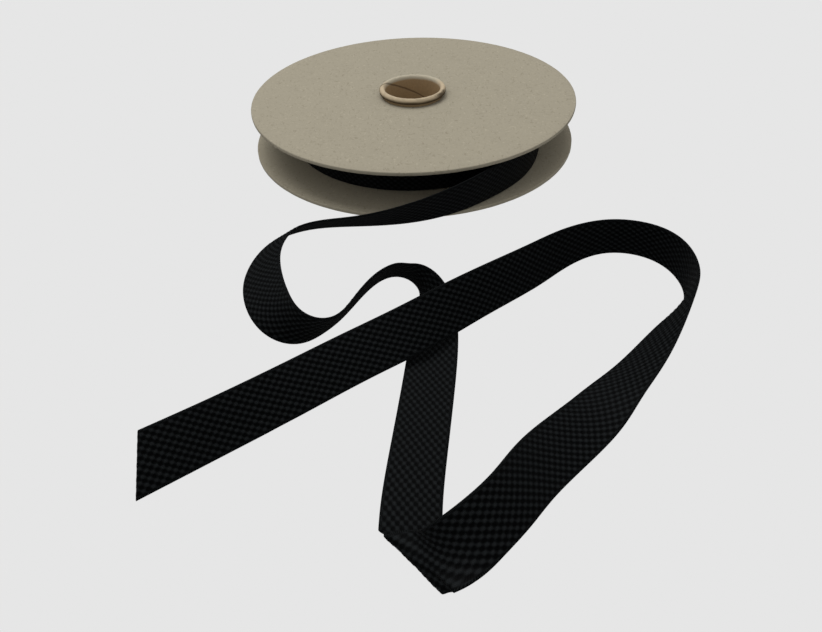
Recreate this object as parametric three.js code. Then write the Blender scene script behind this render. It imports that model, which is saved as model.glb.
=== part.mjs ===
// A roll of narrow black webbing on a cardboard reel, with its loose end laid out in front.
// Millimetres, +Z up. The reel lies flat; everything stands on the plane z = 0.
import * as THREE from 'three';

// Reel: two card flanges on a paper tube.
const FLANGE_RADIUS = 114;
const FLANGE_THICKNESS = 2.5;
const FLANGE_EDGE = 0.4;
const FLANGE_GAP = 27;
const CORE_BORE_RADIUS = 19.5;
const CORE_WALL = 1.8;
const LIP_RADIUS = 23.5;
const LIP_RISE = 6;
const LIP_HEIGHT = 5;
const CLEARANCE = 0.3;
const ROUND_STEPS = 96;
const CORE_STEPS = 64;

// Webbing: one flat woven strip, wound on the tube and led off it.
const WEBBING_WIDTH = 25;
const WEBBING_THICKNESS = 1.6;
const WEBBING_EDGE = 0.4;
const ROLL_RADIUS = 87.2;
const LEAVE_ANGLE = 12.9;

// Heights that follow from the reel.
const UPPER_FLANGE_BASE = FLANGE_THICKNESS + FLANGE_GAP;
const REEL_TOP = UPPER_FLANGE_BASE + FLANGE_THICKNESS;
const ROLL_MIDDLE = FLANGE_THICKNESS + FLANGE_GAP / 2;
const CORE_OUTER_RADIUS = CORE_BORE_RADIUS + CORE_WALL;
const FLANGE_BORE_RADIUS = CORE_OUTER_RADIUS + CLEARANCE;

// The loose webbing from the roll to the folded corner. Each row is a guide point of its
// middle line: x and y from the reel's axis, z above the floor, and lean, the angle in
// degrees by which the left-hand edge stands up. Rows at z 0 lie flat on the floor.
const FROM_REEL = [
  { x: 85, y: 19, z: 16, lean: 90 },
  { x: 90, y: -14, z: 16, lean: 90 },
  { x: 84, y: -49, z: 16, lean: 87 },
  { x: 70, y: -78, z: 16, lean: 85 },
  { x: 46, y: -101, z: 16, lean: 82 },
  { x: 22, y: -119, z: 15, lean: 74 },
  { x: -6, y: -128, z: 12, lean: 59 },
  { x: -35, y: -132, z: 11, lean: 44 },
  { x: -58, y: -137, z: 14, lean: 40 },
  { x: -73, y: -146, z: 16, lean: 39 },
  { x: -82, y: -158, z: 17, lean: 39 },
  { x: -87, y: -180, z: 17, lean: 35 },
  { x: -83, y: -204, z: 18, lean: 26 },
  { x: -75, y: -224, z: 18, lean: 41 },
  { x: -62, y: -233, z: 14, lean: 99 },
  { x: -49, y: -230, z: 11, lean: 133 },
  { x: -39, y: -215, z: 12, lean: 118 },
  { x: -28, y: -196, z: 14, lean: 120 },
  { x: -15, y: -187, z: 17, lean: 134 },
  { x: -3, y: -191, z: 14, lean: 118 },
  { x: 3, y: -203, z: 12, lean: 57 },
  { x: 5, y: -221, z: 3, lean: 8 },
  { x: 1, y: -253, z: 0, lean: 1 },
  { x: -5, y: -293, z: 0, lean: 0 },
  { x: -11, y: -332, z: 0, lean: 0 },
];

// The slanting fold that turns the webbing over at the front corner.
const FOLD = {
  x: -10,
  y: -350,
  heading: -96,
  crease: -48,
  radius: 3.5,
  opening: 18,
  rows: 5,
};

// The webbing after the fold, back to the cut end. Same columns; skew is the angle in degrees
// by which the cross-section slants along the webbing, as beside the crease and at the cut.
const TO_CUT_END = [
  { x: 1, y: -359, z: 11, lean: 23, skew: 28 },
  { x: 9, y: -357, z: 17, lean: 35, skew: 12 },
  { x: 18, y: -351, z: 20, lean: 42, skew: 3 },
  { x: 28, y: -341, z: 20, lean: 43 },
  { x: 38, y: -326, z: 17, lean: 38 },
  { x: 52, y: -309, z: 11, lean: 22 },
  { x: 71, y: -290, z: 7, lean: 8 },
  { x: 83, y: -276, z: 9, lean: -20 },
  { x: 101, y: -258, z: 9, lean: -33 },
  { x: 127, y: -223, z: 13, lean: -62 },
  { x: 139, y: -209, z: 13, lean: -88 },
  { x: 138, y: -188, z: 16, lean: -93 },
  { x: 126, y: -171, z: 17, lean: -101 },
  { x: 102, y: -162, z: 16, lean: -101 },
  { x: 77, y: -172, z: 14, lean: -82 },
  { x: 60, y: -187, z: 14, lean: -70 },
  { x: 24, y: -217, z: 19, lean: -63 },
  { x: -6, y: -236, z: 15, lean: -42 },
  { x: -34, y: -247, z: 9, lean: -38 },
  { x: -65, y: -270, z: 9, lean: -41 },
  { x: -92, y: -290, z: 10, lean: -50 },
  { x: -117, y: -318, z: 20, lean: -45, skew: -27 },
];
const STEPS_PER_ROW = 5;

const UP = new THREE.Vector3(0, 0, 1);
const radians = (degrees) => degrees * Math.PI / 180;
const degrees = (angle) => angle * 180 / Math.PI;

// A ring or tube turned from a closed profile of radius and height pairs.
function turned(profile, steps) {
  const points = profile.map(([radius, height]) => new THREE.Vector2(radius, height));
  points.push(points[0].clone());
  const lathe = new THREE.LatheGeometry(points, steps);
  lathe.rotateX(Math.PI / 2);
  return lathe;
}

// A card disc with its hole for the tube and slightly rubbed edges.
function flange(base) {
  const top = base + FLANGE_THICKNESS;
  const profile = [
    [FLANGE_BORE_RADIUS, base],
    [FLANGE_RADIUS - FLANGE_EDGE, base],
    [FLANGE_RADIUS, base + FLANGE_EDGE],
    [FLANGE_RADIUS, top - FLANGE_EDGE],
    [FLANGE_RADIUS - FLANGE_EDGE, top],
    [FLANGE_BORE_RADIUS, top],
  ];
  return turned(profile, ROUND_STEPS);
}

// The paper tube, standing a little above the upper flange, its rim rolled outwards to a bead.
function core() {
  const lipTop = REEL_TOP + LIP_RISE;
  const lipBase = lipTop - LIP_HEIGHT;
  const lipMiddle = lipTop - LIP_HEIGHT / 2;
  const crown = (CORE_BORE_RADIUS + LIP_RADIUS) / 2;
  const profile = [
    [CORE_BORE_RADIUS, 0],
    [CORE_OUTER_RADIUS, 0],
    [CORE_OUTER_RADIUS, lipBase],
    [LIP_RADIUS - 1, lipBase + 0.3],
    [LIP_RADIUS - 0.3, lipBase + 1],
    [LIP_RADIUS, lipMiddle],
    [LIP_RADIUS - 0.3, lipTop - 1],
    [LIP_RADIUS - 1, lipTop - 0.3],
    [crown, lipTop],
    [CORE_BORE_RADIUS + 1, lipTop - 0.3],
    [CORE_BORE_RADIUS + 0.3, lipTop - 1],
    [CORE_BORE_RADIUS, lipMiddle],
  ];
  return turned(profile, CORE_STEPS);
}

// The wound turns as one body. Its outline is a spiral, one thickness of webbing smaller
// where the loose end leaves, so that the outermost turn ends in a step.
function woundTurns() {
  const outline = new THREE.Shape();
  const start = radians(LEAVE_ANGLE);
  for (let step = 0; step <= ROUND_STEPS; step += 1) {
    const turn = step / ROUND_STEPS;
    const radius = ROLL_RADIUS - WEBBING_THICKNESS * (1 - turn);
    const angle = start - turn * 2 * Math.PI;
    const x = radius * Math.cos(angle);
    const y = radius * Math.sin(angle);
    if (step === 0) {
      outline.moveTo(x, y);
    } else {
      outline.lineTo(x, y);
    }
  }
  outline.closePath();
  const hole = new THREE.Path();
  hole.absarc(0, 0, CORE_OUTER_RADIUS + CLEARANCE, 0, 2 * Math.PI, false);
  outline.holes.push(hole);
  const body = new THREE.ExtrudeGeometry(outline, {
    depth: WEBBING_WIDTH,
    bevelEnabled: false,
    curveSegments: CORE_STEPS,
  });
  body.translate(0, 0, ROLL_MIDDLE - WEBBING_WIDTH / 2);
  return body;
}

// Guide rows round the crease: the webbing rolls over a small cylinder that lies along the
// crease, and comes back on top of itself, opened by the spring of the folded cloth.
function foldRows() {
  const crease = new THREE.Vector3(Math.cos(radians(FOLD.crease)), Math.sin(radians(FOLD.crease)), 0);
  const outward = new THREE.Vector3(crease.y, -crease.x, 0);
  const heading = new THREE.Vector3(Math.cos(radians(FOLD.heading)), Math.sin(radians(FOLD.heading)), 0);
  const along = heading.dot(crease);
  const over = heading.dot(outward);
  const wrap = Math.PI - radians(FOLD.opening);
  const turn = wrap / (FOLD.rows - 1);
  const reach = FOLD.radius * 3 / (2 + Math.cos(turn));
  const skew = degrees(Math.atan2(along, over));
  const rows = [];
  for (let index = 0; index < FOLD.rows; index += 1) {
    const angle = turn * index;
    const rolled = outward.clone().multiplyScalar(Math.cos(angle)).addScaledVector(UP, Math.sin(angle));
    const travel = crease.clone().multiplyScalar(along).addScaledVector(rolled, over);
    const edge = crease.clone().multiplyScalar(over).addScaledVector(rolled, -along);
    const left = UP.clone().cross(travel).normalize();
    const raised = travel.clone().cross(left);
    let lean = degrees(Math.atan2(edge.dot(raised), edge.dot(left)));
    if (lean > 60) {
      lean -= 360;
    }
    const point = new THREE.Vector3(FOLD.x, FOLD.y, WEBBING_THICKNESS / 2 + FOLD.radius);
    point.addScaledVector(outward, reach * Math.sin(angle));
    point.addScaledVector(UP, -reach * Math.cos(angle));
    point.addScaledVector(crease, FOLD.radius * angle * along / over);
    rows.push({ x: point.x, y: point.y, z: point.z, lean, skew });
  }
  return rows;
}

// Smooth blend of the guide rows: a uniform cubic B-spline with straight ends.
function blend(rows, at) {
  const columns = ['x', 'y', 'z', 'lean', 'skew'];
  const span = Math.min(Math.floor(at), rows.length - 2);
  const part = at - span;
  const weights = [
    (1 - part) ** 3,
    3 * part ** 3 - 6 * part ** 2 + 4,
    -3 * part ** 3 + 3 * part ** 2 + 3 * part + 1,
    part ** 3,
  ];
  const slopes = [
    -((1 - part) ** 2),
    3 * part ** 2 - 4 * part,
    -3 * part ** 2 + 2 * part + 1,
    part ** 2,
  ];
  const value = {};
  const slope = {};
  for (const column of columns) {
    const read = (index) => {
      if (index < 0) {
        return 2 * (rows[0][column] ?? 0) - (rows[1][column] ?? 0);
      }
      if (index >= rows.length) {
        const last = rows.length - 1;
        return 2 * (rows[last][column] ?? 0) - (rows[last - 1][column] ?? 0);
      }
      return rows[index][column] ?? 0;
    };
    value[column] = 0;
    slope[column] = 0;
    for (let near = 0; near < 4; near += 1) {
      const row = read(span + near - 1);
      value[column] += weights[near] * row / 6;
      slope[column] += slopes[near] * row / 2;
    }
  }
  return { value, slope };
}

// One closed strip of webbing, its cross-section carried along the guide rows and kept
// on or above the floor.
function looseWebbing() {
  const folded = TO_CUT_END.map((row) => ({ ...row, lean: row.lean - 180 }));
  const rows = [...FROM_REEL, ...foldRows(), ...folded];
  const half = WEBBING_WIDTH / 2;
  const thick = WEBBING_THICKNESS / 2;
  const ring = [
    [half - WEBBING_EDGE, 1],
    [half, 0],
    [half - WEBBING_EDGE, -1],
    [WEBBING_EDGE - half, -1],
    [-half, 0],
    [WEBBING_EDGE - half, 1],
  ];
  const points = [];
  const faces = [];
  const sections = (rows.length - 1) * STEPS_PER_ROW;
  for (let section = 0; section <= sections; section += 1) {
    const { value, slope } = blend(rows, section / STEPS_PER_ROW);
    const travel = new THREE.Vector3(slope.x, slope.y, slope.z).normalize();
    const left = UP.clone().cross(travel).normalize();
    const raised = travel.clone().cross(left);
    const edge = left.clone().multiplyScalar(Math.cos(radians(value.lean)));
    edge.addScaledVector(raised, Math.sin(radians(value.lean)));
    const face = travel.clone().cross(edge);
    const across = edge.clone().addScaledVector(travel, Math.tan(radians(value.skew)));
    for (const [offset, side] of ring) {
      const point = new THREE.Vector3(value.x, value.y, value.z).addScaledVector(across, offset);
      point.z = Math.max(point.z, thick);
      point.addScaledVector(face, side * thick);
      points.push(point.x, point.y, point.z);
    }
    if (section > 0) {
      const here = section * ring.length;
      const before = here - ring.length;
      for (let corner = 0; corner < ring.length; corner += 1) {
        const next = (corner + 1) % ring.length;
        faces.push(before + corner, here + next, before + next);
        faces.push(before + corner, here + corner, here + next);
      }
    }
  }
  const last = sections * ring.length;
  for (let corner = 1; corner < ring.length - 1; corner += 1) {
    faces.push(0, corner, corner + 1);
    faces.push(last, last + corner + 1, last + corner);
  }
  const strip = new THREE.BufferGeometry();
  strip.setAttribute('position', new THREE.Float32BufferAttribute(points, 3));
  strip.setIndex(faces);
  return strip;
}

function material(color, roughness) {
  return new THREE.MeshStandardMaterial({ color, roughness, metalness: 0 });
}

const CARD = 0x9c9583;
const PAPER_TUBE = 0x7d6b4d;
const BLACK_WEBBING = 0x121415;

const pieces = [
  ['lower_flange', flange(0), material(CARD, 0.9)],
  ['upper_flange', flange(UPPER_FLANGE_BASE), material(CARD, 0.9)],
  ['core_tube', core(), material(PAPER_TUBE, 0.85)],
  ['wound_webbing', woundTurns(), material(BLACK_WEBBING, 0.8)],
  ['loose_webbing', looseWebbing(), material(BLACK_WEBBING, 0.8)],
];

// The whole is centred over the origin, as seen from above.
const extent = new THREE.Box3();
for (const [, geometry] of pieces) {
  geometry.computeBoundingBox();
  extent.union(geometry.boundingBox);
}
const middle = extent.getCenter(new THREE.Vector3());
const roll = new THREE.Group();
roll.name = 'webbing_roll';
for (const [name, geometry, finish] of pieces) {
  geometry.translate(-middle.x, -middle.y, 0);
  const mesh = new THREE.Mesh(geometry, finish);
  mesh.name = name;
  roll.add(mesh);
}

export default roll;
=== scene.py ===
import math

import bpy
import numpy as np
from mathutils import Matrix, Vector


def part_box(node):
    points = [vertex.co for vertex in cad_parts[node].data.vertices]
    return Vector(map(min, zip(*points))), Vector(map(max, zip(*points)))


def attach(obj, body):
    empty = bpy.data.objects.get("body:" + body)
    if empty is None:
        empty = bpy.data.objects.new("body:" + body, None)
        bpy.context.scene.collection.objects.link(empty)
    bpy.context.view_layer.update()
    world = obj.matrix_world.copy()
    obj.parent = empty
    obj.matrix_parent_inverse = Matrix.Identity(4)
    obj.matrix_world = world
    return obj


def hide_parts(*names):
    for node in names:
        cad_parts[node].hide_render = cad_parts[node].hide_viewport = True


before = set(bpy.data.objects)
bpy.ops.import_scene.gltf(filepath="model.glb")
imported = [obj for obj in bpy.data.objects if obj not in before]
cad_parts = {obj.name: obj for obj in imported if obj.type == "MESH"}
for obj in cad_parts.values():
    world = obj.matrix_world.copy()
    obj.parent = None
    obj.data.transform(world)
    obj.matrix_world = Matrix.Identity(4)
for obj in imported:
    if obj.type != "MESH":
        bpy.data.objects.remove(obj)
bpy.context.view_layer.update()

bl_info = {
    "name": "Webbing Roll",
    "version": (1, 0, 0),
    "blender": (4, 5, 0),
    "location": "3D View > Sidebar > Webbing Roll",
    "description": "A roll of woven webbing on a card reel, its loose end laid out in front",
    "category": "Add Mesh",
}

MM = 0.001

# The reel's axis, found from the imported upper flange.
FLANGE_LOW, FLANGE_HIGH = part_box("upper_flange")
AXIS_X = (FLANGE_LOW.x + FLANGE_HIGH.x) / 2
AXIS_Y = (FLANGE_LOW.y + FLANGE_HIGH.y) / 2

# The loose webbing from the roll to the folded corner. Each row is a guide point of its middle
# line in millimetres from the reel's axis: x, y, z, and lean, the angle in degrees by which the
# left-hand edge stands up.
FROM_REEL = (
    (85, 19, 16, 90),
    (90, -14, 16, 90),
    (84, -49, 16, 87),
    (70, -78, 16, 85),
    (46, -101, 16, 82),
    (22, -119, 15, 74),
    (-6, -128, 12, 59),
    (-35, -132, 11, 44),
    (-58, -137, 14, 40),
    (-73, -146, 16, 39),
    (-82, -158, 17, 39),
    (-87, -180, 17, 35),
    (-83, -204, 18, 26),
    (-75, -224, 18, 41),
    (-62, -233, 14, 99),
    (-49, -230, 11, 133),
    (-39, -215, 12, 118),
    (-28, -196, 14, 120),
    (-15, -187, 17, 134),
    (-3, -191, 14, 118),
    (3, -203, 12, 57),
    (5, -221, 3, 8),
    (1, -253, 0, 1),
    (-5, -293, 0, 0),
    (-11, -332, 0, 0),
)

# The slanting fold at the front corner: where it starts, the webbing's heading, the crease's
# direction, the radius that the cloth rolls over, how far the fold springs open, and its rows.
FOLD_X = -10
FOLD_Y = -350
FOLD_HEADING = -96
FOLD_CREASE = -48
FOLD_RADIUS = 3.5
FOLD_OPENING = 18
FOLD_ROWS = 5

# The webbing after the fold, to the cut end: x, y, z, lean and skew, the angle in degrees by
# which the cross-section slants along the webbing.
TO_CUT_END = (
    (1, -359, 11, 23, 28),
    (9, -357, 17, 35, 12),
    (18, -351, 20, 42, 3),
    (28, -341, 20, 43, 0),
    (38, -326, 17, 38, 0),
    (52, -309, 11, 22, 0),
    (71, -290, 7, 8, 0),
    (83, -276, 9, -20, 0),
    (101, -258, 9, -33, 0),
    (127, -223, 13, -62, 0),
    (139, -209, 13, -88, 0),
    (138, -188, 16, -93, 0),
    (126, -171, 17, -101, 0),
    (102, -162, 16, -101, 0),
    (77, -172, 14, -82, 0),
    (60, -187, 14, -70, 0),
    (24, -217, 19, -63, 0),
    (-6, -236, 15, -42, 0),
    (-34, -247, 9, -38, 0),
    (-65, -270, 9, -41, 0),
    (-92, -290, 10, -50, 0),
    (-117, -318, 20, -45, -27),
)


def length_property(name, description, default):
    return bpy.props.FloatProperty(
        name=name, description=description, default=default, min=0.0, precision=4,
        subtype="DISTANCE", unit="LENGTH",
    )


def angle_property(name, description, degrees):
    return bpy.props.FloatProperty(
        name=name, description=description, default=math.radians(degrees),
        subtype="ANGLE", unit="ROTATION",
    )


def colour_property(name, description, default):
    return bpy.props.FloatVectorProperty(
        name=name, description=description, default=default, size=3, min=0.0, max=1.0,
        subtype="COLOR",
    )


class ReelSizes(bpy.types.PropertyGroup):
    """Sizes of the two card flanges and the paper tube."""
    flange_radius: length_property("Flange radius", "Radius of each card flange", 114 * MM)
    flange_thickness: length_property("Flange thickness", "Thickness of the card", 2.5 * MM)
    flange_gap: length_property("Flange gap", "Clear height between the flanges", 27 * MM)
    bore_radius: length_property("Bore radius", "Inside radius of the paper tube", 19.5 * MM)
    tube_wall: length_property("Tube wall", "Thickness of the paper tube's wall", 1.8 * MM)
    lip_radius: length_property("Lip radius", "Outer radius of the rolled lip", 23.5 * MM)
    lip_rise: length_property("Lip rise", "Height of the rolled lip's top over the card", 6 * MM)
    lip_height: length_property("Lip height", "Height of the rolled lip itself", 5 * MM)
    clearance: length_property("Clearance", "Gap between the tube and the card", 0.3 * MM)


class WebbingSizes(bpy.types.PropertyGroup):
    """Sizes of the webbing, its weave and its winding."""
    width: length_property("Width", "Width of the webbing", 25 * MM)
    thickness: length_property("Thickness", "Thickness over the weave's knots", 1.6 * MM)
    knot_pitch: length_property("Knot pitch", "Distance between knots across", 3.45 * MM)
    row_pitch: length_property("Row pitch", "Distance between rows of knots along", 2.24 * MM)
    knot_height: length_property("Knot height", "Height of a knot over the ground", 0.2 * MM)
    selvedge: length_property("Selvedge", "Width of the plain woven edge", 1.1 * MM)
    roll_radius: length_property("Roll radius", "Outer radius of the wound turns", 87.2 * MM)
    section_step: length_property("Section step", "Distance between cross-sections", 0.92 * MM)


class Finishes(bpy.types.PropertyGroup):
    """Colours of the card, the paper and the yarn; the yarn's two colours are painted highlight and
    painted shade.
    """
    card: colour_property("Card", "Grey-brown chipboard", (0.43, 0.388, 0.295))
    card_fleck: colour_property("Card fleck", "Dark fibres in the chipboard", (0.26, 0.225, 0.16))
    paper: colour_property("Paper", "Brown tube paper", (0.375, 0.26, 0.14))
    paper_lip: colour_property("Paper lip", "Rubbed rolled rim", (0.62, 0.5, 0.34))
    # The yarn colours: the pale one is painted highlight on the knots' tops, the dark one painted
    # shade in the pits between them.
    yarn: colour_property("Yarn", "Black yarn on top of a knot", (0.0172, 0.0198, 0.0212))
    pit_painted_shade: colour_property("Yarn shade", "Black yarn between knots", (0.0018, 0.0021, 0.0023))


class StageSettings(bpy.types.PropertyGroup):
    """The camera, the floor and the light."""
    camera_pitch: angle_property("Camera pitch", "How far the camera looks down", 39.54)
    camera_pan: angle_property("Camera pan", "How far the camera turns to the left", 0.07)
    camera_roll: angle_property("Camera roll", "Turn of the camera on its line of sight", -2.25)
    floor_colour: colour_property("Floor", "Plain pale floor and backdrop", (0.791, 0.791, 0.791))
    key_power: bpy.props.FloatProperty(
        name="Key power", description="Power of the soft overhead light", default=15.5, min=0.0,
        subtype="POWER", unit="POWER",
    )
    fill_strength: bpy.props.FloatProperty(
        name="Fill strength", description="Strength of the even light from all round",
        default=0.6, min=0.0,
    )
    floor_strength: bpy.props.FloatProperty(
        name="Floor strength", description="Strength of the light that the floor gives back",
        default=0.33, min=0.0,
    )


# Camera: place in millimetres from the reel's axis, and the lens's focal length in the
# photograph's pixels, for a frame of 822 by 632.
CAMERA_PLACE = (-6.84, -510.72, 249.66)
FOCAL_PIXELS = 750
FRAME_WIDTH = 822
SENSOR_WIDTH = 36.0

# The overhead light, which shines towards the origin: its place and size in metres. Then the
# floor's half width, and how far it lies below the webbing.
LAMP_PLACE = (-0.4, 0.6, 1.6)
LAMP_WIDTH = 1.6
LAMP_DEPTH = 1.2
FLOOR_REACH = 6.0
FLOOR_DROP = 0.2 * MM

# How finely the pieces are made: sections round the card and the tube, points in one turn of the
# winding, sections of the whole spiral, columns across a strip's face, and points between two
# guide rows while a length is measured.
CARD_SECTIONS = 288
TUBE_SECTIONS = 256
POINTS_PER_TURN = 360
SPIRAL_SECTIONS = 3750
STRIP_COLUMNS = 34
POINTS_PER_ROW = 60

# The wound turns are this much thinner than the webbing, so that each shows as a turn of its
# own, and their edges have this radius.
TURN_GAP = 0.1 * MM
TURN_EDGE = 0.4 * MM

# Spots and fibres, in repeats per metre, and a fibre's width over its length.
CARD_CLOUDS = 45.0
CARD_GRAIN = 700.0
FIBRE_CURLS = 260.0
DARK_FIBRES = 900.0
DARK_FIBRES_ACROSS = 820.0
PALE_FIBRES = 520.0
FIBRE_SLIMNESS = 0.22
PAPER_BLOTCHES = 150.0
PAPER_GRAIN = 620.0
YARN_SPOTS = 900.0
YARN_LUMPS = 400.0

# The weave: how far its knots lean, where 0 is upright and 1 joins them into slanting ribs, and
# how many warp yarns a knot holds across and weft yarns a row of knots holds along.
KNOT_LEAN = 0.15
WARPS_PER_KNOT = 7
WEFTS_PER_ROW = 4

# The paper tube's ply edge: metres of climb up the bore for each radian that it turns back, and
# its place, in radians from the right, at the middle height of the bead. Then the place where
# the plies are torn.
PLY_CLIMB = 0.0095
PLY_START = 2.6
TORN_ANGLE = -0.5


# Node trees
def number(tree, operation, first, second=None, third=None, clamp=False):
    """A Math node; values may be numbers or sockets."""
    step = tree.nodes.new("ShaderNodeMath")
    step.operation = operation
    step.use_clamp = clamp
    for socket, value in zip(step.inputs, (first, second, third)):
        feed(tree, socket, value)
    return step.outputs[0]


def vector(tree, operation, first, second=None, scale=None):
    """A Vector Math node; values may be tuples or sockets."""
    step = tree.nodes.new("ShaderNodeVectorMath")
    step.operation = operation
    feed(tree, step.inputs[0], first)
    feed(tree, step.inputs[1], second)
    if scale is not None:
        feed(tree, step.inputs["Scale"], scale)
    return step.outputs[0]


def times(tree, first, second):
    """A product of two numbers."""
    return number(tree, "MULTIPLY", first, second)


def plus(tree, first, second):
    """A sum of two numbers."""
    return number(tree, "ADD", first, second)


def minus(tree, first, second):
    """The first number less the second."""
    return number(tree, "SUBTRACT", first, second)


def feed(tree, socket, value):
    """Links a socket, or sets a plain value."""
    if value is None:
        return
    if isinstance(value, bpy.types.NodeSocket):
        tree.links.new(value, socket)
    else:
        socket.default_value = value


def part(tree, kind, settings=None, **values):
    """A node with its settings and inputs; an input's name has _ for a space."""
    made = tree.nodes.new(kind)
    for name, value in (settings or {}).items():
        setattr(made, name, value)
    for name, value in values.items():
        feed(tree, made.inputs[name.replace("_", " ")], value)
    return made


def split(tree, value):
    """The three parts of a vector."""
    return part(tree, "ShaderNodeSeparateXYZ", Vector=value).outputs


def joined(tree, x=0.0, y=0.0, z=0.0):
    """A vector from its three parts."""
    made = tree.nodes.new("ShaderNodeCombineXYZ")
    for socket, value in zip(made.inputs, (x, y, z)):
        feed(tree, socket, value)
    return made.outputs[0]


def ramp(tree, value, low, high, start=0.0, end=1.0):
    """A smooth ramp from low to high."""
    made = part(tree, "ShaderNodeMapRange", {"interpolation_type": "SMOOTHSTEP"})
    for name, amount in (("Value", value), ("From Min", low), ("From Max", high),
                         ("To Min", start), ("To Max", end)):
        feed(tree, made.inputs[name], amount)
    return made.outputs[0]


def noise(tree, place, scale, detail=2.0, roughness=0.5, output="Fac"):
    """Soft random spots."""
    return part(
        tree, "ShaderNodeTexNoise", Vector=place, Scale=scale, Detail=detail, Roughness=roughness,
    ).outputs[output]


def mixed(tree, amount, first, second):
    """A colour between two."""
    made = part(tree, "ShaderNodeMix", {"data_type": "RGBA"})
    feed(tree, made.inputs["Factor"], amount)
    for socket, value in ((made.inputs[6], first), (made.inputs[7], second)):
        feed(tree, socket, value if isinstance(value, bpy.types.NodeSocket) else (*value, 1.0))
    return made.outputs[2]


def shaded(colour, amount):
    """A colour made darker or lighter."""
    return tuple(min(1.0, amount * share) for share in colour)


def surface(name, roughness, specular):
    """A new material; returns it with its tree and shader."""
    material = bpy.data.materials.new(name)
    material.use_nodes = True
    tree = material.node_tree
    shader = tree.nodes["Principled BSDF"]
    shader.inputs["Roughness"].default_value = roughness
    shader.inputs["Specular IOR Level"].default_value = specular
    return material, tree, shader


def bumped(tree, shader, height, distance, strength):
    """Fine relief, distance in metres."""
    bump = part(tree, "ShaderNodeBump", Height=height, Distance=distance, Strength=strength)
    tree.links.new(bump.outputs["Normal"], shader.inputs["Normal"])


def card_material():
    """Grey chipboard: pulp in cloudy patches, with pale and dark fibres."""
    colours = bpy.context.scene.webbing_finishes
    material, tree, shader = surface("Grey chipboard", 0.92, 0.2)
    place = tree.nodes.new("ShaderNodeTexCoord").outputs["Object"]
    grain = noise(tree, place, CARD_GRAIN, 3.0, 0.65)
    curls = noise(tree, place, FIBRE_CURLS, 1.0, output="Color")
    curled = vector(tree, "ADD", place, vector(tree, "SCALE", curls, scale=4 * MM))
    lengthways = vector(tree, "MULTIPLY", curled, (1.0, FIBRE_SLIMNESS, 1.0))
    crossways = vector(tree, "MULTIPLY", curled, (FIBRE_SLIMNESS, 1.0, 1.0))
    dark = number(tree, "MAXIMUM",
                  ramp(tree, noise(tree, lengthways, DARK_FIBRES, 1.0), 0.62, 0.74),
                  ramp(tree, noise(tree, crossways, DARK_FIBRES_ACROSS, 1.0), 0.64, 0.76))
    pale = ramp(tree, noise(tree, place, PALE_FIBRES, 2.0), 0.60, 0.74)
    cloudy = times(tree, ramp(tree, noise(tree, place, CARD_CLOUDS, 3.0), 0.3, 0.7), 0.05)
    grainy = times(tree, ramp(tree, grain, 0.25, 0.75), 0.16)
    ground = mixed(tree, plus(tree, cloudy, grainy), colours.card, shaded(colours.card, 0.62))
    with_dark = mixed(tree, times(tree, dark, 0.5), ground, colours.card_fleck)
    with_pale = mixed(tree, times(tree, pale, 0.45), with_dark, shaded(colours.card, 1.32))
    tree.links.new(with_pale, shader.inputs["Base Color"])
    bumped(tree, shader, plus(tree, grain, dark), 0.08 * MM, 0.6)
    return material


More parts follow.
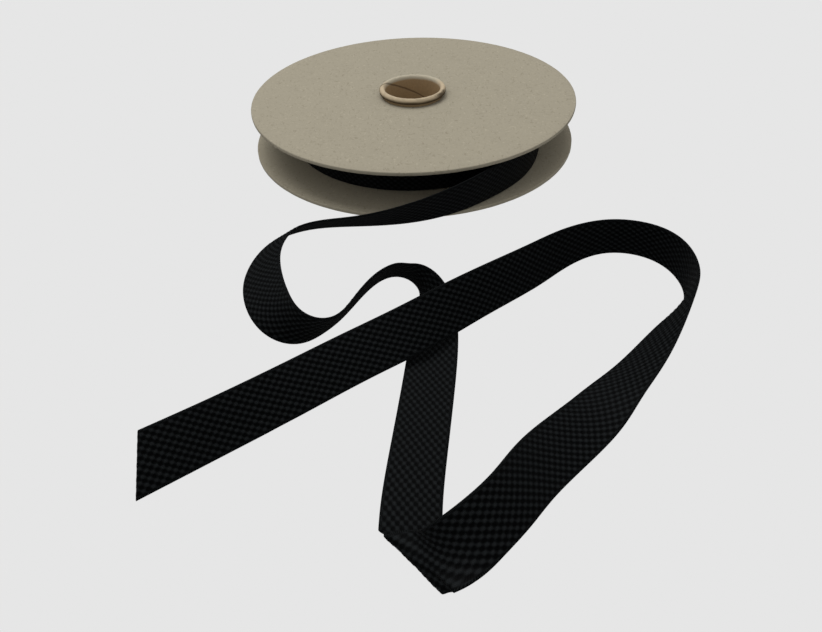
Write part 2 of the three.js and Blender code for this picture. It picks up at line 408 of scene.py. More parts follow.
def paper_material():
    """Brown tube paper with the edge of its outer ply winding up the bore and over the bead, and
    a pale rubbed bead with dark torn plies low on its front right, painted shade under the bead
    and painted light on its back."""
    colours = bpy.context.scene.webbing_finishes
    reel = bpy.context.scene.webbing_reel
    material, tree, shader = surface("Brown tube paper", 0.88, 0.25)
    place = tree.nodes.new("ShaderNodeTexCoord").outputs["Object"]
    blotch = noise(tree, place, PAPER_BLOTCHES, 2.0)
    grain = noise(tree, place, PAPER_GRAIN, 3.0, 0.7)

    # Places on the bead: the angle round the reel, the distance outwards from the crown, and the
    # height over the bead's middle.
    curl = (reel.lip_radius - reel.bore_radius) / 2
    middle = 2 * reel.flange_thickness + reel.flange_gap + reel.lip_rise - reel.lip_height / 2
    x, y, z = split(tree, vector(tree, "SUBTRACT", place, (AXIS_X, AXIS_Y, middle)))
    angle = number(tree, "ARCTAN2", y, x)
    squares = plus(tree, times(tree, x, x), times(tree, y, y))
    outward = minus(tree, number(tree, "POWER", squares, 0.5), reel.bore_radius + curl)

    # The ply's edge: how far a place lies along the paper, up the bore and then round the bead,
    # and how far it lies from the edge's slanting line, in turns.
    round_bead = plus(tree, number(tree, "ARCTAN2", outward, z), math.pi / 2)
    in_bore = number(tree, "LESS_THAN", round_bead, 0.0)
    up_bore = times(tree, number(tree, "MINIMUM", z, 0.0), in_bore)
    height = number(tree, "MULTIPLY_ADD", number(tree, "MAXIMUM", round_bead, 0.0), curl, up_bore)
    climb = number(tree, "MULTIPLY_ADD", height, -1 / PLY_CLIMB, angle)
    wavy_climb = number(tree, "MULTIPLY_ADD", blotch, 0.12, climb)
    turns = number(tree, "DIVIDE", minus(tree, wavy_climb, PLY_START - math.pi), 2 * math.pi)
    from_seam = number(tree, "ABSOLUTE", minus(tree, number(tree, "FRACT", turns), 0.5))
    seam = ramp(tree, from_seam, 0.004, 0.018, 1.0, 0.0)

    # Torn plies on the bead's outer side.
    from_torn = number(tree, "ABSOLUTE", minus(tree, angle, TORN_ANGLE))
    at_torn = ramp(tree, from_torn, 0.1, 0.45, 1.0, 0.0)
    torn = times(tree, times(tree, at_torn, ramp(tree, grain, 0.38, 0.48)),
                 ramp(tree, outward, 0.2 * curl, 0.7 * curl))

    # Brown paper in the bore, a rubbed bead painted paler towards the back as painted light, and
    # painted shade on its underside.
    wavy_height = number(tree, "MULTIPLY_ADD", blotch, 1.2 * MM, z)
    rubbed = ramp(tree, wavy_height, -0.4 * MM, 1.2 * MM)
    clear_of_painted_shade = ramp(tree, wavy_height, 0.0, 2 * MM)
    brown = mixed(tree, ramp(tree, grain, 0.3, 0.7), colours.paper, shaded(colours.paper, 1.15))
    front = mixed(tree, ramp(tree, blotch, 0.35, 0.7), colours.paper_lip,
                  shaded(colours.paper_lip, 0.8))
    # Painted light: towards the back the bead takes a colour paler than the card, partly its own
    # card-like tone and partly painted light on its shaded back.
    lip = mixed(tree, ramp(tree, y, 3 * MM, 14 * MM), front, shaded(colours.card, 1.3))
    inside = mixed(tree, rubbed, brown, lip)
    # Painted shade: the bead's outer side below its middle is painted a near-black brown.
    outer_side_with_painted_shade = mixed(tree, clear_of_painted_shade, shaded(colours.paper, 0.22), lip)
    bead = mixed(tree, ramp(tree, outward, -0.2 * curl, 0.2 * curl), inside, outer_side_with_painted_shade)
    dark = number(tree, "MAXIMUM", times(tree, seam, 0.6), times(tree, torn, 0.85))
    coloured = mixed(tree, dark, bead, shaded(colours.paper, 0.2))
    tree.links.new(coloured, shader.inputs["Base Color"])
    relief = minus(tree, plus(tree, grain, blotch), times(tree, dark, 2.0))
    bumped(tree, shader, relief, 0.12 * MM, 0.8)
    return material


def weave_wave(tree, across, along, knot_pitch, row_pitch):
    """About 1 on the middle of a knot and -1 on the pit between knots. Every other row of knots
    is shifted by half a knot, and the knots lean a little. across and along are in metres."""
    over = times(tree, number(tree, "DIVIDE", across, knot_pitch), 2 * math.pi)
    under = times(tree, number(tree, "DIVIDE", along, row_pitch), math.pi)
    upright = times(tree, number(tree, "COSINE", over), number(tree, "COSINE", under))
    leaning = times(tree, number(tree, "SINE", over), number(tree, "SINE", under))
    return number(tree, "MULTIPLY_ADD", leaning, KNOT_LEAN, upright)


def inside_selvedge(tree, across, width, selvedge):
    """1 on the patterned middle of the webbing, fading to 0 on its plain woven edges."""
    half = number(tree, "DIVIDE", width, 2.0)
    return ramp(tree, number(tree, "ABSOLUTE", across), minus(tree, half, selvedge),
                minus(tree, half, times(tree, selvedge, 0.5)), 1.0, 0.0)


def webbing_material():
    """Black yarn: a knot where the warp comes up, painted pale as a highlight, painted shade in the
    pits between, and a plain selvedge with painted highlight on its ribs. A knot on one face is a
    pit on the other."""
    colours = bpy.context.scene.webbing_finishes
    sizes = bpy.context.scene.webbing_sizes
    material, tree, shader = surface("Black woven webbing", 0.55, 0.05)
    shader.inputs["Sheen Weight"].default_value = 0.035
    shader.inputs["Sheen Roughness"].default_value = 0.4
    weave = part(tree, "ShaderNodeAttribute", {"attribute_name": "weave"}).outputs["Vector"]
    across, along, side = split(tree, weave)
    wave = times(tree, side, weave_wave(tree, across, along, sizes.knot_pitch, sizes.row_pitch))
    inside = inside_selvedge(tree, across, sizes.width, sizes.selvedge)
    spots = noise(tree, weave, YARN_SPOTS, 2.0)
    uneven = times(tree, minus(tree, spots, 0.5), 0.9)
    raised = times(tree, ramp(tree, plus(tree, wave, uneven), -1.0, 1.1), inside)
    # Painted highlight and shade: the knot mask paints the tops of the raised knots pale and leaves
    # the pits between them dark.
    knot = number(tree, "POWER", raised, 1.8)
    warp_turns = 2 * math.pi * WARPS_PER_KNOT / sizes.knot_pitch
    weft_turns = 2 * math.pi * WEFTS_PER_ROW / sizes.row_pitch
    warp = number(tree, "SINE", times(tree, across, warp_turns))
    weft = number(tree, "SINE", times(tree, along, weft_turns))
    thread = plus(tree, times(tree, warp, knot), times(tree, weft, minus(tree, 1.0, knot)))
    # Painted highlight on the selvedge's weft ribs.
    rib = times(tree, times(tree, minus(tree, 1.0, inside), 0.6), ramp(tree, weft, -0.6, 0.8))
    light = number(tree, "ADD", knot, rib, clamp=True)
    lit = times(tree, light, ramp(tree, thread, -1.6, 0.6, 0.55, 1.0))
    # The base colour runs from painted shade in the pits to painted highlight on the knots and
    # ribs.
    yarn = mixed(tree, lit, colours.pit_painted_shade, colours.yarn)
    tree.links.new(yarn, shader.inputs["Base Color"])
    bumped(tree, shader, plus(tree, thread, times(tree, spots, 1.5)), 0.05 * MM, 0.8)
    return material


# Meshes
def linked(name, mesh):
    """A new object of the scene."""
    made = bpy.data.objects.new(name, mesh)
    bpy.context.scene.collection.objects.link(made)
    return made


def mesh_piece(name, points, faces, material, smooth_angle):
    """A closed mesh piece, points in millimetres from the reel's axis. Its edges are smooth up
    to smooth_angle, in degrees."""
    mesh = bpy.data.meshes.new(name)
    placed = np.asarray(points, float) * MM + np.array((AXIS_X, AXIS_Y, 0.0))
    mesh.from_pydata(placed.tolist(), [], faces)
    mesh.validate()
    mesh.update()
    if material is not None:
        mesh.materials.append(material)
    mesh.shade_smooth()
    mesh.set_sharp_from_angle(angle=math.radians(smooth_angle))
    return linked(name, mesh)


def ring_faces(rings, around):
    """Quads between closed rings of points, the last ring joined to the first, for a ring-shaped
    solid: rings run round the axis, and around is the number of points in each section."""
    faces = []
    for ring in range(rings):
        following = (ring + 1) % rings
        for corner in range(around):
            after = (corner + 1) % around
            faces.append((ring * around + corner, following * around + corner,
                          following * around + after, ring * around + after))
    return faces


def bake_tree(piece):
    """Turns a piece's live node tree into its plain mesh."""
    evaluated = piece.evaluated_get(bpy.context.evaluated_depsgraph_get())
    mesh = bpy.data.meshes.new_from_object(evaluated)
    piece.modifiers.clear()
    piece.data = mesh
    mesh.name = piece.name
    return piece


def tree_modifier(piece, tree, values):
    """Adds the tree to a piece with its inputs set by their sockets' identifiers."""
    modifier = piece.modifiers.new(tree.name, "NODES")
    modifier.node_group = tree
    for socket in tree.interface.items_tree:
        if socket.in_out == "INPUT" and socket.name in values:
            modifier[socket.identifier] = values[socket.name]
    bpy.context.view_layer.update()
    return modifier


def new_tree(name, inputs):
    """An empty geometry tree with its named inputs, each a name, a kind and a default; returns
    it with its input and output nodes."""
    tree = bpy.data.node_groups.new(name, "GeometryNodeTree")
    tree.interface.new_socket("Geometry", in_out="INPUT", socket_type="NodeSocketGeometry")
    tree.interface.new_socket("Geometry", in_out="OUTPUT", socket_type="NodeSocketGeometry")
    for title, kind, default in inputs:
        socket = tree.interface.new_socket(title, in_out="INPUT", socket_type=kind)
        socket.default_value = default
    source = tree.nodes.new("NodeGroupInput")
    sink = tree.nodes.new("NodeGroupOutput")
    return tree, source, sink


def close_tree(tree, sink, geometry, material):
    """Realize Instances and Set Material, then the output."""
    real = part(tree, "GeometryNodeRealizeInstances", Geometry=geometry).outputs[0]
    dressed = part(tree, "GeometryNodeSetMaterial", Geometry=real, Material=material).outputs[0]
    tree.links.new(dressed, sink.inputs[0])


# Flanges
def flange_piece(name, base, sizes, material, seed):
    """A card disc with rubbed edges, a slightly uneven rim and a faint warp."""
    top = base + sizes.flange_thickness / MM
    bore = (sizes.bore_radius + sizes.tube_wall + sizes.clearance) / MM
    rim = sizes.flange_radius / MM
    flat = rim - 0.7 - bore
    steps = (0.0, 0.12, 0.28, 0.46, 0.64, 0.82, 0.94)
    rubbed_edge = ((0.55, 0.0), (0.28, 0.1), (0.08, 0.3), (0.0, 0.6))
    section = [(bore + flat * step, base) for step in steps]
    section += [(rim - inwards, base + up) for inwards, up in rubbed_edge]
    section.append((rim, (base + top) / 2))
    section += [(rim - inwards, top - down) for inwards, down in reversed(rubbed_edge)]
    section += [(bore + flat * step, top) for step in reversed(steps)]
    ragged_waves, ragged_depth, wear = (23, 37, 61, 83), 0.018, 0.07
    draws = np.random.default_rng(seed)
    phases = draws.uniform(0, 2 * math.pi, 12)
    points = []
    for ring in range(CARD_SECTIONS):
        angle = 2 * math.pi * ring / CARD_SECTIONS
        ragged = sum(math.cos(wave * angle + phases[wave % 12]) for wave in ragged_waves)
        saddle = 0.1 * math.cos(2 * angle + phases[1])
        warp = 0.16 + saddle + 0.06 * math.cos(3 * angle + phases[2])
        for radius, height in section:
            share = (radius - bore) / (rim - bore)
            outer = radius - (wear - ragged_depth * ragged) * (share > 0.99)
            points.append((outer * math.cos(angle), outer * math.sin(angle),
                           height + warp * share * share))
    return mesh_piece(name, points, ring_faces(CARD_SECTIONS, len(section)), material, 40)


# Paper tube
def core_piece(name, sizes, material):
    """The paper tube with its rim rolled outwards to a bead, uneven where the plies end."""
    bore = sizes.bore_radius / MM
    outer = bore + sizes.tube_wall / MM
    curl = (sizes.lip_radius / MM - bore) / 2
    rise = sizes.lip_height / MM / 2
    tucked = 0.75 * rise
    middle = (2 * sizes.flange_thickness + sizes.flange_gap + sizes.lip_rise) / MM - rise
    section = [(bore, 0.0), (bore + 0.3, 0.0), (outer - 0.2, 0.0), (outer, 0.2), (outer, 10.0),
               (outer, 20.0), (outer, 30.0), (outer, middle - tucked)]
    first_curl = len(section)
    for degrees in range(-80, 181, 20):
        angle = math.radians(degrees)
        tall = rise if degrees > 0 else tucked
        section.append((bore + curl + curl * math.cos(angle), middle + tall * math.sin(angle)))
    curled = len(section) - first_curl
    section += [(bore, middle - 3), (bore, 20.0), (bore, 10.0)]
    draws = np.random.default_rng(11)
    phases = draws.uniform(0, 2 * math.pi, 40)
    points = []
    for ring in range(TUBE_SECTIONS):
        angle = 2 * math.pi * ring / TUBE_SECTIONS
        slow = sum(math.cos(wave * angle + phases[wave]) / wave for wave in (2, 3, 5, 7)) * 0.3
        quick = sum(math.cos(wave * angle + phases[wave]) for wave in (13, 19, 29)) * 0.06
        for index, (radius, height) in enumerate(section):
            place = index - first_curl
            if 0 <= place < curled:
                share = math.sin(math.pi * (place + 0.5) / curled)
                radius -= (0.15 + slow + quick) * share
                height -= (0.2 + quick) * share
            points.append((radius * math.cos(angle), radius * math.sin(angle), height))
    return mesh_piece(name, points, ring_faces(TUBE_SECTIONS, len(section)), material, 50)


# Webbing
def level_direction(degrees):
    """A level direction, turned from the right."""
    angle = math.radians(degrees)
    return np.array((math.cos(angle), math.sin(angle), 0.0))


def fold_rows(thickness):
    """Guide rows round the crease: the webbing rolls over a small cylinder along the crease and
    comes back on top of itself."""
    heading = level_direction(FOLD_HEADING)
    crease = level_direction(FOLD_CREASE)
    outward = np.array((crease[1], -crease[0], 0.0))
    up = np.array((0.0, 0.0, 1.0))
    along, over = heading @ crease, heading @ outward
    turn = (math.pi - math.radians(FOLD_OPENING)) / (FOLD_ROWS - 1)
    reach = FOLD_RADIUS * 3 / (2 + math.cos(turn))
    skew = math.degrees(math.atan2(along, over))
    rows = []
    for index in range(FOLD_ROWS):
        angle = turn * index
        rolled = outward * math.cos(angle) + up * math.sin(angle)
        travel = crease * along + rolled * over
        edge = crease * over - rolled * along
        left = np.cross(up, travel)
        left /= np.linalg.norm(left)
        lean = math.degrees(math.atan2(edge @ np.cross(travel, left), edge @ left))
        if lean > 60:
            lean -= 360
        point = np.array((FOLD_X, FOLD_Y, thickness / 2 + FOLD_RADIUS))
        point = point + outward * reach * math.sin(angle) - up * reach * math.cos(angle)
        point = point + crease * FOLD_RADIUS * angle * along / over
        rows.append((*point, lean, skew))
    return rows


def blended(rows, at):
    """Smooth blend of the guide rows, a uniform cubic B-spline with straight ends: values and
    slopes at each place."""
    table = np.vstack((2 * rows[0] - rows[1], rows, 2 * rows[-1] - rows[-2]))
    span = np.minimum(np.floor(at).astype(int), len(rows) - 2)
    rest = (at - span)[:, None]
    weights = ((1 - rest) ** 3, 3 * rest ** 3 - 6 * rest ** 2 + 4,
               -3 * rest ** 3 + 3 * rest ** 2 + 3 * rest + 1, rest ** 3)
    slopes = (-((1 - rest) ** 2), 3 * rest ** 2 - 4 * rest,
              -3 * rest ** 2 + 2 * rest + 1, rest ** 2)
    value = sum(weight * table[span + near] for near, weight in enumerate(weights)) / 6
    slope = sum(weight * table[span + near] for near, weight in enumerate(slopes)) / 2
    return value, slope


def loose_line(sizes):
    """Cross-sections of the loose webbing at even steps of its length: middle, the direction
    across with its skew, the face's direction, length so far and slant."""
    thickness = sizes.thickness / MM
    first = [(*row, 0.0) for row in FROM_REEL]
    last = [(x, y, z, lean - 180.0, skew) for x, y, z, lean, skew in TO_CUT_END]
    rows = np.array(first + fold_rows(thickness) + last, float)
    dense = np.linspace(0, len(rows) - 1, (len(rows) - 1) * POINTS_PER_ROW + 1)
    value, _ = blended(rows, dense)
    gaps = np.linalg.norm(np.diff(value[:, :3], axis=0), axis=1)
    reached = np.concatenate(([0.0], np.cumsum(gaps)))
    count = int(reached[-1] / (sizes.section_step / MM)) + 1
    length = np.linspace(0, reached[-1], count)
    value, slope = blended(rows, np.interp(length, reached, dense))
    travel = slope[:, :3] / np.linalg.norm(slope[:, :3], axis=1)[:, None]
    left = np.cross((0.0, 0.0, 1.0), travel)
    left /= np.linalg.norm(left, axis=1)[:, None]
    raised = np.cross(travel, left)
    lean = np.radians(value[:, 3])[:, None]
    edge = left * np.cos(lean) + raised * np.sin(lean)
    face = np.cross(travel, edge)
    slant = np.tan(np.radians(value[:, 4]))
    across = edge + travel * slant[:, None]
    return value[:, :3], across, face, length, slant


def outer_turn_line(reel, sizes):
    """Cross-sections of the outermost turn, up to the place where the loose end leaves."""
    radius, angle, length = winding(reel, sizes)
    start = length[-1 - POINTS_PER_TURN]
    count = int((length[-1] - start) / (sizes.section_step / MM)) + 1
    place = np.linspace(start, length[-1], count)
    r = np.interp(place, length, radius)
    a = np.interp(place, length, angle)
    middle_height = (reel.flange_thickness + reel.flange_gap / 2) / MM
    centre = np.column_stack((r * np.cos(a), r * np.sin(a), np.full_like(r, middle_height)))
    travel = np.gradient(centre, axis=0)
    travel /= np.linalg.norm(travel, axis=1)[:, None]
    across = np.tile((0.0, 0.0, 1.0), (len(r), 1))
    face = np.cross(travel, across)
    return centre, across, face, place - length[-1], np.zeros(len(r))


def first_radius(reel, sizes):
    """Middle radius of the innermost turn."""
    return reel.bore_radius + reel.tube_wall + reel.clearance + sizes.thickness / 2


def winding(reel, sizes):
    """Radius, angle and length of the winding's middle line in millimetres, clockwise from the
    tube outwards. Its last fifth of a turn eases out to the first guide row."""
    pitch = sizes.thickness / MM
    inner = first_radius(reel, sizes) / MM
    outer = math.hypot(FROM_REEL[0][0], FROM_REEL[0][1])
    settled = (sizes.roll_radius - sizes.thickness / 2) / MM
    turns = (settled - inner) / pitch
    end_angle = math.atan2(FROM_REEL[0][1], FROM_REEL[0][0])
    turn = np.linspace(0, turns, int(turns * POINTS_PER_TURN) + 1)
    easing = 0.2
    last = np.clip((turn - (turns - easing)) / easing, 0, 1)
    radius = inner + pitch * turn + (outer - settled) * last * last * (3 - 2 * last)
    angle = end_angle + 2 * math.pi * (turns - turn)
    x, y = radius * np.cos(angle), radius * np.sin(angle)
    length = np.concatenate(([0.0], np.cumsum(np.hypot(np.diff(x), np.diff(y)))))
    return radius, angle, length


def strip_mesh(name, line, sizes):
    """A closed strip of webbing along cross-sections, before its weave is raised. The weave
    attribute holds metres across, metres along, and 1 on the face or -1 on the back; the raise
    attribute holds the face's direction."""
    centre, across, face, length, slant = line
    half = sizes.width / 2 / MM
    ground = (sizes.thickness / 2 - sizes.knot_height) / MM
    flat = half - 0.6
    shoulder, drop = half - 0.16, 0.62 * ground
    upper = [(offset, ground, 1.0) for offset in np.linspace(-flat, flat, STRIP_COLUMNS)]
    edge = [(shoulder, drop, 0.5), (half, 0.0, 0.0), (shoulder, -drop, -0.5)]
    right = upper + edge
    ring = np.array(right + [(-offset, -height, -side) for offset, height, side in right])
    floor = sizes.thickness / 2 / MM
    middle = centre[:, None, :] + across[:, None, :] * ring[None, :, 0, None]
    middle[..., 2] = np.maximum(middle[..., 2], floor)
    points = middle + face[:, None, :] * ring[None, :, 1, None]
    sections, around = points.shape[:2]
    faces = []
    for section in range(sections - 1):
        here, following = section * around, (section + 1) * around
        faces.extend((here + corner, following + corner, following + (corner + 1) % around,
                      here + (corner + 1) % around) for corner in range(around))
    faces.append(tuple(range(around)))
    last = (sections - 1) * around
    faces.append(tuple(range(last + around - 1, last - 1, -1)))
    made = mesh_piece(name, points.reshape(-1, 3), faces, None, 60)
    weave = np.empty(points.shape)
    weave[..., 0] = ring[None, :, 0] * MM
    weave[..., 1] = (length[:, None] + slant[:, None] * ring[None, :, 0]) * MM
    weave[..., 2] = np.sign(ring[None, :, 2])
    raised = np.broadcast_to(face[:, None, :], points.shape)
    for title, values in (("weave", weave), ("raise", raised)):
        attribute = made.data.attributes.new(title, "FLOAT_VECTOR", "POINT")
        attribute.data.foreach_set("vector", np.ascontiguousarray(values, np.float32).ravel())
    return made


def stored(tree, geometry, kind, name, value):
    """Keeps a value on the points of a geometry."""
    settings = {"data_type": kind, "domain": "POINT"}
    return part(tree, "GeometryNodeStoreNamedAttribute", settings,
                Geometry=geometry, Name=name, Value=value).outputs[0]


def recalled(tree, kind, name):
    """A value kept on the points."""
    settings = {"data_type": kind}
    return part(tree, "GeometryNodeInputNamedAttribute", settings, Name=name).outputs[0]


def weave_tree(material):
    """Raises the weave on a strip: knots in staggered rows, fading to the plain selvedge."""
    tree, source, sink = new_tree("Raised Weave", (
        ("Knot Pitch", "NodeSocketFloat", 0.00345),
        ("Row Pitch", "NodeSocketFloat", 0.00224),
        ("Knot Height", "NodeSocketFloat", 0.0002),
        ("Width", "NodeSocketFloat", 0.025),
        ("Selvedge", "NodeSocketFloat", 0.0011),
        ("Unevenness", "NodeSocketFloat", 0.25),
        ("Seed", "NodeSocketFloat", 3.0),
    ))
    given = source.outputs
    weave = recalled(tree, "FLOAT_VECTOR", "weave")
    raised = recalled(tree, "FLOAT_VECTOR", "raise")
    across, along, _ = split(tree, weave)
    wave = weave_wave(tree, across, along, given["Knot Pitch"], given["Row Pitch"])
    inside = inside_selvedge(tree, across, given["Width"], given["Selvedge"])
    repeats = vector(tree, "SCALE", weave, scale=YARN_LUMPS)
    lumps = noise(tree, vector(tree, "ADD", repeats, joined(tree, given["Seed"])), 1.0, 1.0)
    uneven = times(tree, minus(tree, lumps, 0.5), given["Unevenness"])
    height = times(tree, plus(tree, wave, uneven), given["Knot Height"])
    lift = times(tree, height, inside)
    moved = part(tree, "GeometryNodeSetPosition", Geometry=given["Geometry"],
                 Offset=vector(tree, "SCALE", raised, scale=lift)).outputs[0]
    close_tree(tree, sink, moved, material)
    return tree


def raise_weave(piece, tree, sizes):
    """Raises the weave on a strip with the webbing's own sizes."""
    tree_modifier(piece, tree, {
        "Knot Pitch": sizes.knot_pitch,
        "Row Pitch": sizes.row_pitch,
        "Knot Height": sizes.knot_height,
        "Width": sizes.width,
        "Selvedge": sizes.selvedge,
    })
    bake_tree(piece)
    piece.data.attributes.remove(piece.data.attributes["raise"])
    return piece


def turns_tree(material):
    """The inner turns: a spiral line swept by the webbing's section."""
    tree, source, sink = new_tree("Wound Turns", (
        ("Turns", "NodeSocketFloat", 39.0),
        ("First Radius", "NodeSocketFloat", 0.0224),
        ("Turn Pitch", "NodeSocketFloat", 0.0016),
        ("End Angle", "NodeSocketFloat", 0.22),
        ("Width", "NodeSocketFloat", 0.025),
        ("Thickness", "NodeSocketFloat", 0.0015),
        ("Edge Radius", "NodeSocketFloat", 0.0004),
        ("Sections", "NodeSocketInt", 3000),
        ("Middle", "NodeSocketVector", (0.0, 0.0, 0.0)),
        ("Length Before End", "NodeSocketFloat", 0.0),
    ))
    given = source.outputs
    first, pitch = given["First Radius"], given["Turn Pitch"]

    # The spiral: its radius grows so that equal steps of the line are equal lengths of webbing.
    line = part(tree, "GeometryNodeMeshLine", Count=given["Sections"]).outputs[0]
    index = tree.nodes.new("GeometryNodeInputIndex").outputs[0]
    share = number(tree, "DIVIDE", index, minus(tree, given["Sections"], 1.0))
    last = plus(tree, first, times(tree, given["Turns"], pitch))
    first_squared, last_squared = times(tree, first, first), times(tree, last, last)
    growth = times(tree, share, minus(tree, last_squared, first_squared))
    squared = plus(tree, first_squared, growth)
    radius = number(tree, "SQRT", squared)
    turned = number(tree, "DIVIDE", minus(tree, last, radius), pitch)
    angle = plus(tree, given["End Angle"], times(tree, turned, 2 * math.pi))
    spot = joined(tree, times(tree, radius, number(tree, "COSINE", angle)),
                  times(tree, radius, number(tree, "SINE", angle)))
    spiral = part(tree, "GeometryNodeSetPosition", Geometry=line,
                  Position=vector(tree, "ADD", spot, given["Middle"])).outputs[0]
    area = times(tree, minus(tree, squared, last_squared), math.pi)
    along = plus(tree, number(tree, "DIVIDE", area, pitch), given["Length Before End"])
    measured = stored(tree, spiral, "FLOAT", "along", along)
    curve = part(tree, "GeometryNodeMeshToCurve", Mesh=measured).outputs[0]
    upright = part(tree, "GeometryNodeSetCurveNormal", {"mode": "Z_UP"}, Curve=curve).outputs[0]

    # The webbing's section, carried along the spiral.
    flat = part(tree, "GeometryNodeCurvePrimitiveQuadrilateral",
                Width=given["Thickness"], Height=given["Width"]).outputs[0]
    softened = part(tree, "GeometryNodeFilletCurve", Curve=flat,
                    Radius=given["Edge Radius"]).outputs[0]
    outline = split(tree, tree.nodes.new("GeometryNodeInputPosition").outputs[0])
    marked = stored(tree, softened, "FLOAT_VECTOR", "section", joined(tree, outline[1], outline[0]))
    swept = part(tree, "GeometryNodeCurveToMesh", Curve=upright, Profile_Curve=marked,
                 Fill_Caps=True).outputs[0]
    section = split(tree, recalled(tree, "FLOAT_VECTOR", "section"))
    place = joined(tree, section[0], recalled(tree, "FLOAT", "along"),
                   number(tree, "SIGN", section[1]))
    weave = stored(tree, swept, "FLOAT_VECTOR", "weave", place)
    close_tree(tree, sink, weave, material)
    return tree


# Operators
class WEBBINGROLL_OT_stage(bpy.types.Operator):
    """Make the camera, the pale floor and the soft light"""
    bl_idname = "webbing_roll.stage"
    bl_label = "Make Stage"

    def execute(self, context):
        stage = context.scene.webbing_stage
        camera = bpy.data.cameras.new("Camera")
        camera.sensor_width = SENSOR_WIDTH
        camera.lens = SENSOR_WIDTH * FOCAL_PIXELS / FRAME_WIDTH
        camera.clip_start = 0.01
        camera.clip_end = 50.0
        holder = linked("Camera", camera)
        turn = Matrix.Rotation(stage.camera_pan, 4, "Z")
        turn = turn @ Matrix.Rotation(math.radians(90) - stage.camera_pitch, 4, "X")
        turn = turn @ Matrix.Rotation(stage.camera_roll, 4, "Z")
        place = [AXIS_X + CAMERA_PLACE[0] * MM, AXIS_Y + CAMERA_PLACE[1] * MM,
                 CAMERA_PLACE[2] * MM]
        holder.matrix_world = Matrix.Translation(place) @ turn
        context.scene.camera = holder
        self.pale_surroundings(context, stage)
        self.floor(stage)
        self.lights(stage)
        context.scene.view_settings.view_transform = "Standard"
        return {"FINISHED"}

    def strength(self, tree, given):
        """Full strength where the camera sees it, a given strength on matt surfaces, and none in
        gloss, so that only the lamps show there."""
        path = tree.nodes.new("ShaderNodeLightPath")
        seen = path.outputs["Is Camera Ray"]
        shown = number(tree, "MAXIMUM", seen, path.outputs["Is Glossy Ray"])
        return plus(tree, seen, times(tree, minus(tree, 1.0, shown), given))

    def pale_surroundings(self, context, stage):
        """A backdrop of the floor's colour, with a weaker light of its own."""
        world = bpy.data.worlds.new("Pale surroundings")
        world.use_nodes = True
        context.scene.world = world
        tree = world.node_tree
        tree.nodes.clear()
        glow = part(tree, "ShaderNodeBackground", Color=(*stage.floor_colour, 1.0),
                    Strength=self.strength(tree, stage.fill_strength))
        out = tree.nodes.new("ShaderNodeOutputWorld")
        tree.links.new(glow.outputs[0], out.inputs["Surface"])

    def floor(self, stage):
        """A wide plane of one even tone that shows no shadow."""
        mesh = bpy.data.meshes.new("pale_floor")
        corners = [(x * FLOOR_REACH, y * FLOOR_REACH, -FLOOR_DROP)
                   for x, y in ((-1, -1), (1, -1), (1, 1), (-1, 1))]
        mesh.from_pydata(corners, [], [(0, 1, 2, 3)])
        material = bpy.data.materials.new("Pale floor")
        material.use_nodes = True
        tree = material.node_tree
        tree.nodes.clear()
        glow = part(tree, "ShaderNodeEmission", Color=(*stage.floor_colour, 1.0),
                    Strength=self.strength(tree, stage.floor_strength))
        out = tree.nodes.new("ShaderNodeOutputMaterial")
        tree.links.new(glow.outputs[0], out.inputs["Surface"])
        mesh.materials.append(material)
        linked("pale_floor", mesh)

    def lights(self, stage):
        """A wide soft light overhead, a little to the left."""
        lamp = bpy.data.lights.new("Overhead light", "AREA")
        lamp.shape = "RECTANGLE"
        lamp.size = LAMP_WIDTH
        lamp.size_y = LAMP_DEPTH
        lamp.energy = stage.key_power
        holder = linked("Overhead light", lamp)
        place = Vector(LAMP_PLACE)
        turn = place.to_track_quat("Z", "Y").to_matrix().to_4x4()
        holder.matrix_world = Matrix.Translation(place) @ turn


class WEBBINGROLL_OT_flanges(bpy.types.Operator):
    """Make the two card flanges"""
    bl_idname = "webbing_roll.flanges"
    bl_label = "Make Flanges"

    def execute(self, context):
        sizes = context.scene.webbing_reel
        material = card_material()
        upper = (sizes.flange_thickness + sizes.flange_gap) / MM
        for node, base, seed in (("lower_flange", 0.0, 5), ("upper_flange", upper, 6)):
            card = flange_piece(node + "_card", base, sizes, material, seed)
            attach(card, "root")
            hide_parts(node)
        return {"FINISHED"}


class WEBBINGROLL_OT_core(bpy.types.Operator):
    """Make the paper tube with its rolled lip"""
    bl_idname = "webbing_roll.core"
    bl_label = "Make Paper Tube"

    def execute(self, context):
        sizes = context.scene.webbing_reel
        tube = core_piece("paper_tube", sizes, paper_material())
        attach(tube, "root")
        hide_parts("core_tube")
        return {"FINISHED"}


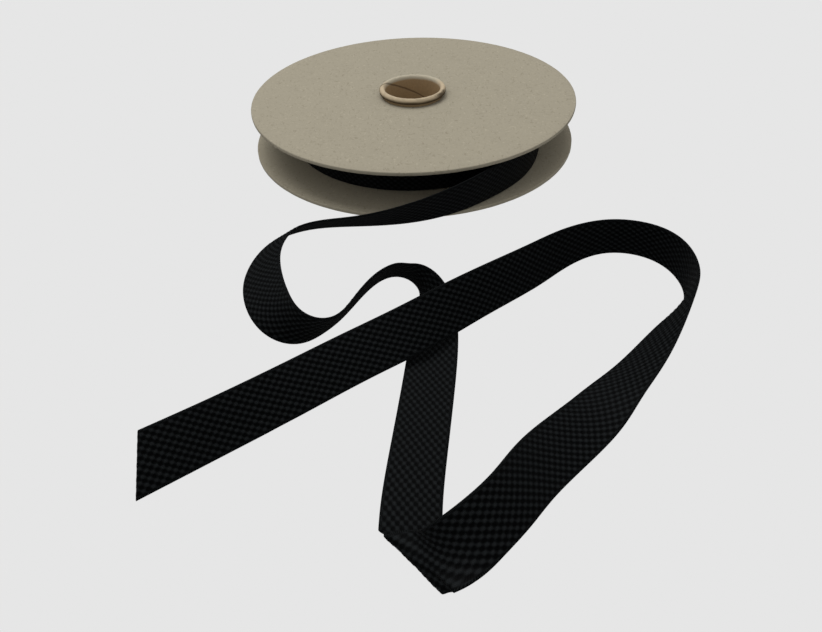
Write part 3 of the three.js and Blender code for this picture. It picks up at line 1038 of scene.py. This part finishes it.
class WEBBINGROLL_OT_webbing(bpy.types.Operator):
    """Make the wound turns and the loose webbing"""
    bl_idname = "webbing_roll.webbing"
    bl_label = "Make Webbing"

    def execute(self, context):
        reel = context.scene.webbing_reel
        sizes = context.scene.webbing_sizes
        material = webbing_material()
        inner = self.inner_turns(reel, sizes, material)
        relief = weave_tree(material)
        outer_line = outer_turn_line(reel, sizes)
        outer = raise_weave(strip_mesh("outer_turn", outer_line, sizes), relief, sizes)
        line = loose_line(sizes)
        loose = raise_weave(strip_mesh("loose_end", line, sizes), relief, sizes)
        for piece in (inner, outer, loose):
            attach(piece, "root")
        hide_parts("wound_webbing")
        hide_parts("loose_webbing")
        return {"FINISHED"}

    def inner_turns(self, reel, sizes, material):
        """All turns but the outermost, as one long spiral."""
        first = first_radius(reel, sizes)
        turns = (sizes.roll_radius - sizes.thickness / 2 - first) / sizes.thickness - 1
        lengths = winding(reel, sizes)[2]
        piece = linked("wound_turns", bpy.data.meshes.new("wound_turns"))
        tree_modifier(piece, turns_tree(material), {
            "Turns": turns,
            "First Radius": first,
            "Turn Pitch": sizes.thickness,
            "End Angle": math.atan2(FROM_REEL[0][1], FROM_REEL[0][0]),
            "Width": sizes.width,
            "Thickness": sizes.thickness - TURN_GAP,
            "Edge Radius": TURN_EDGE,
            "Sections": SPIRAL_SECTIONS,
            "Middle": (AXIS_X, AXIS_Y, reel.flange_thickness + reel.flange_gap / 2),
            "Length Before End": (lengths[-1 - POINTS_PER_TURN] - lengths[-1]) * MM,
        })
        return bake_tree(piece)


class WEBBINGROLL_PT_sidebar(bpy.types.Panel):
    """Buttons and sizes of the webbing roll"""
    bl_idname = "WEBBINGROLL_PT_sidebar"
    bl_label = "Webbing Roll"
    bl_space_type = "VIEW_3D"
    bl_region_type = "UI"
    bl_category = "Webbing Roll"

    def draw(self, context):
        for maker in OPERATORS:
            self.layout.operator(maker.bl_idname)
        for name, group in GROUPS.items():
            box = self.layout.box()
            settings = getattr(context.scene, name)
            for entry in group.__annotations__:
                box.prop(settings, entry)


OPERATORS = (
    WEBBINGROLL_OT_stage,
    WEBBINGROLL_OT_flanges,
    WEBBINGROLL_OT_core,
    WEBBINGROLL_OT_webbing,
)
GROUPS = {
    "webbing_reel": ReelSizes,
    "webbing_sizes": WebbingSizes,
    "webbing_finishes": Finishes,
    "webbing_stage": StageSettings,
}


def register():
    for made in (*GROUPS.values(), *OPERATORS, WEBBINGROLL_PT_sidebar):
        bpy.utils.register_class(made)
    for name, group in GROUPS.items():
        setattr(bpy.types.Scene, name, bpy.props.PointerProperty(type=group))


def unregister():
    for name in GROUPS:
        delattr(bpy.types.Scene, name)
    for made in (WEBBINGROLL_PT_sidebar, *reversed(OPERATORS), *reversed(GROUPS.values())):
        bpy.utils.unregister_class(made)


def main():
    """Makes every piece."""
    register()
    bpy.ops.webbing_roll.stage()
    bpy.ops.webbing_roll.flanges()
    bpy.ops.webbing_roll.core()
    bpy.ops.webbing_roll.webbing()


if __name__ == "__main__":
    main()
